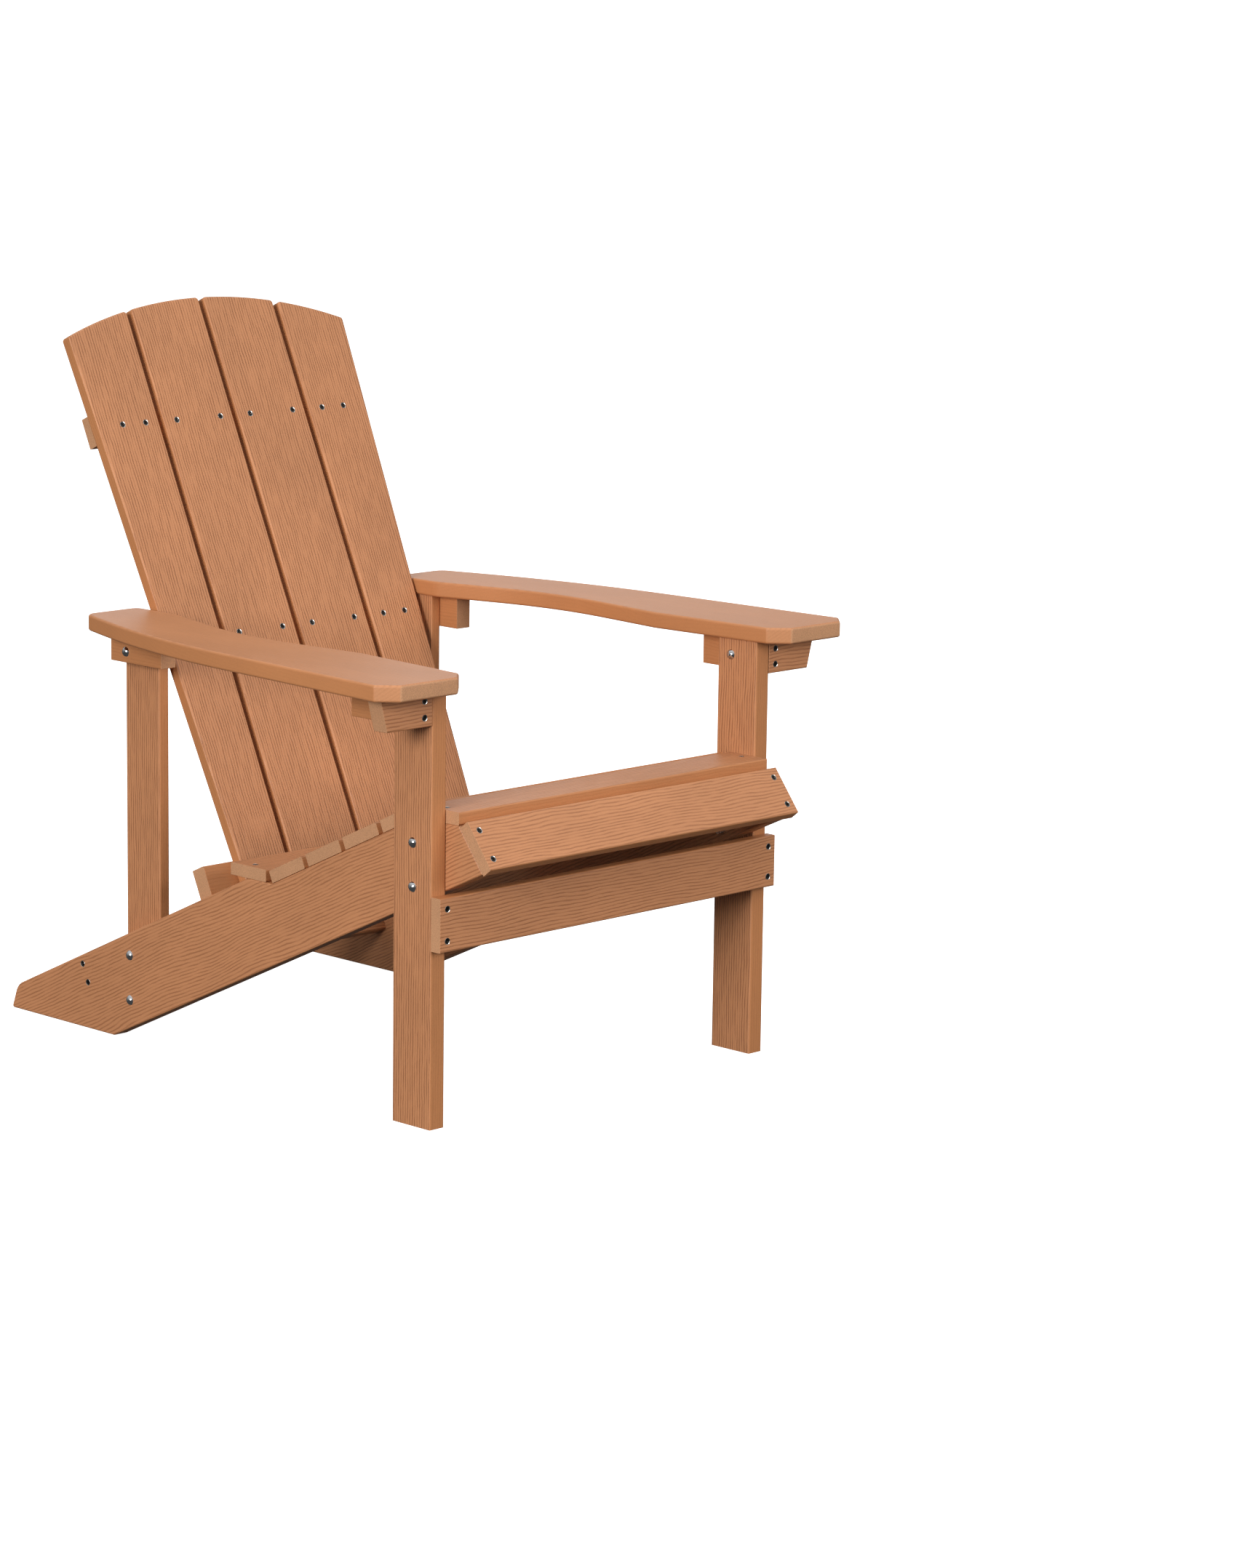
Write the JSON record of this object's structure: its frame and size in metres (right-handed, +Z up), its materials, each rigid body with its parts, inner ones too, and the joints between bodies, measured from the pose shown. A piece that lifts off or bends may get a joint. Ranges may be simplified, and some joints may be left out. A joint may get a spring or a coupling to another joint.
{
  "type": "adirondack chair",
  "caption": "Slatted outdoor armchair with wide flat arms, a sloping seat and a leaning fan back under an arched top, bolted together from wood-grained plastic boards.",
  "frame": {"origin": "on the floor, at the centre of the chair's footprint", "axes": "+Z up; the sitter faces -Y; the sitter's left hand is on +X"},
  "size_m": [0.8458, 0.957, 0.9792],
  "materials": {
    "lumber": "tan brown plastic lumber, satin, embossed with a fine wavy wood grain along each board",
    "bolt_steel": "polished dome heads",
    "screw_steel": "plain bright zinc"
  },
  "bodies": {
    "root": {"stringer_left": "lumber", "stringer_right": "lumber", "front_leg_left": "lumber", "front_leg_right": "lumber", "rear_post_left": "lumber", "rear_post_right": "lumber", "arm_left": "lumber", "arm_right": "lumber", "front_cleat_left": "lumber", "front_cleat_right": "lumber", "arm_bracket_left": "lumber", "arm_bracket_right": "lumber", "rear_cleat_left": "lumber", "rear_cleat_right": "lumber", "back_slat_1": "lumber", "back_slat_2": "lumber", "back_slat_3": "lumber", "back_slat_4": "lumber", "back_brace_upper": "lumber", "back_brace_middle": "lumber", "back_brace_lower": "lumber", "seat_slat_1": "lumber", "seat_slat_2": "lumber", "seat_slat_3": "lumber", "seat_slat_4": "lumber", "seat_slat_5": "lumber", "seat_slat_6": "lumber", "seat_apron": "lumber", "front_stretcher": "lumber", "rear_stretcher": "lumber", "leg_bolts": "bolt_steel", "post_bolts": "bolt_steel", "front_cleat_bolts": "bolt_steel", "rear_cleat_bolts": "bolt_steel", "leg_nuts": "screw_steel", "post_nuts": "screw_steel", "front_cleat_nuts": "screw_steel", "back_screws_upper": "screw_steel", "back_screws_middle": "screw_steel", "back_screws_lower": "screw_steel", "seat_slat_screws": "screw_steel", "apron_screws": "screw_steel", "front_stretcher_screws": "screw_steel", "rear_stretcher_screws": "screw_steel", "bracket_screws": "screw_steel", "arm_screws": "screw_steel", "brace_screws": "screw_steel"}
  },
  "joints": []
}
